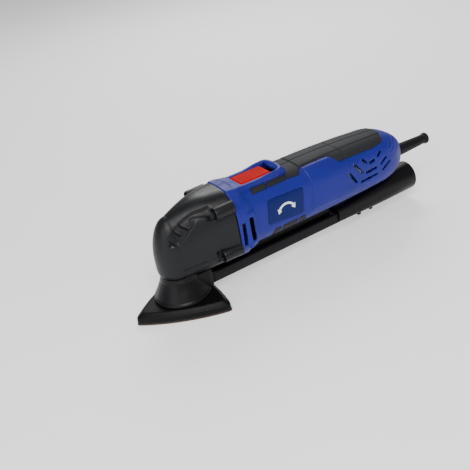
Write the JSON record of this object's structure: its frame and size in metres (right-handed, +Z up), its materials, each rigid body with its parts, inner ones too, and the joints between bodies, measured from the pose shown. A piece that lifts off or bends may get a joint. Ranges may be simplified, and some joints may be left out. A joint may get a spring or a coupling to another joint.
{
  "type": "oscillating multi tool",
  "caption": "Corded oscillating multi tool with a slide switch, soft grip, delta sanding pad and a dust channel along its underside; motor, eccentric drive, spindle and switch gear inside.",
  "frame": {"origin": "on the spindle axis at the sanding face", "axes": "+Z up along the spindle, +X towards the cord end, -Y the tool's left side"},
  "size_m": [0.3716, 0.0916, 0.1064],
  "materials": {
    "blue_housing": "moulded blue polyamide, fine texture",
    "dark_cover": "moulded anthracite, satin",
    "soft_grip": "overmoulded soft grip",
    "red_button": "moulded red",
    "badge_blue": "printed plate, satin",
    "dust_plastic": "moulded near-black",
    "pad_rubber": "moulded polyurethane",
    "hook_fabric": "hook layer",
    "abrasive": "aluminium oxide paper",
    "sleeve_rubber": "moulded PVC",
    "steel": "ground steel",
    "dark_steel": "black oxide screws",
    "cast_alloy": "die cast, as cast",
    "copper": "enamelled copper",
    "brass_part": "stamped brass",
    "carbon": "graphite",
    "felt": "pressed felt",
    "board_green": "circuit board",
    "black_plastic": "moulded black",
    "white_plastic": "moulded"
  },
  "bodies": {
    "root": {"body_shell_left": "blue_housing", "body_shell_right": "blue_housing", "soft_grip_left": "soft_grip", "soft_grip_right": "soft_grip", "lower_grip_left": "soft_grip", "lower_grip_right": "soft_grip", "badge_left": "badge_blue", "badge_right": "badge_blue", "head_cover": "dark_cover", "head_screws": "dark_steel", "gear_housing": "cast_alloy", "shell_screws": "dark_steel", "dust_shroud": "dust_plastic", "extraction_channel": "dust_plastic", "outlet_sleeve": "dust_plastic", "cord_sleeve": "sleeve_rubber", "cord_clamp": "black_plastic", "clamp_bar_screws": "dark_steel", "stator_core": "steel", "field_coils": "copper", "brush_holders": "brass_part", "carbon_brushes": "carbon", "brush_springs": "steel", "motor_bearing_front": "steel", "motor_bearing_rear": "steel", "bearing_seat": "sleeve_rubber", "fan_baffle": "black_plastic", "spindle_bearing_lower": "steel", "spindle_bearing_upper": "steel", "circlip": "dark_steel", "felt_seal": "felt", "switch_module": "black_plastic", "control_board": "board_green", "capacitor": "white_plastic", "potentiometer": "black_plastic"},
    "switch": {"switch_button": "red_button", "switch_slider": "black_plastic", "switch_rod": "black_plastic"},
    "dial": {"speed_dial": "black_plastic"},
    "armature": {"armature_shaft": "steel", "armature_core": "steel", "armature_windings": "copper", "commutator": "brass_part", "cooling_fan": "black_plastic", "counterweight": "steel", "eccentric_bearing": "steel"},
    "spindle_assembly": {"spindle": "steel", "drive_flange": "steel", "fork_lever": "steel", "clamp_screw": "dark_steel", "clamp_washer": "steel", "pad_plate": "steel", "sanding_pad": "pad_rubber", "hook_layer": "hook_fabric", "sanding_sheet": "abrasive"}
  },
  "joints": [
    {"name": "power_switch", "type": "slide", "parent": "root", "child": "switch", "axis": [1, 0, 0], "range_m": [0, 0.006]},
    {"name": "speed_dial_turn", "type": "hinge", "parent": "root", "child": "dial", "pos_m": [0.25, 0.016, 0.08], "axis": [0, 0, 1], "range_deg": [-140, 140]},
    {"name": "motor_spin", "type": "hinge", "parent": "root", "child": "armature", "pos_m": [0.11, 0, 0.067], "axis": [1, 0, 0], "continuous": true},
    {"name": "spindle_swing", "type": "hinge", "parent": "root", "child": "spindle_assembly", "pos_m": [0, 0, 0.04], "axis": [0, 0, 1], "range_deg": [-1.6, 1.6]}
  ]
}
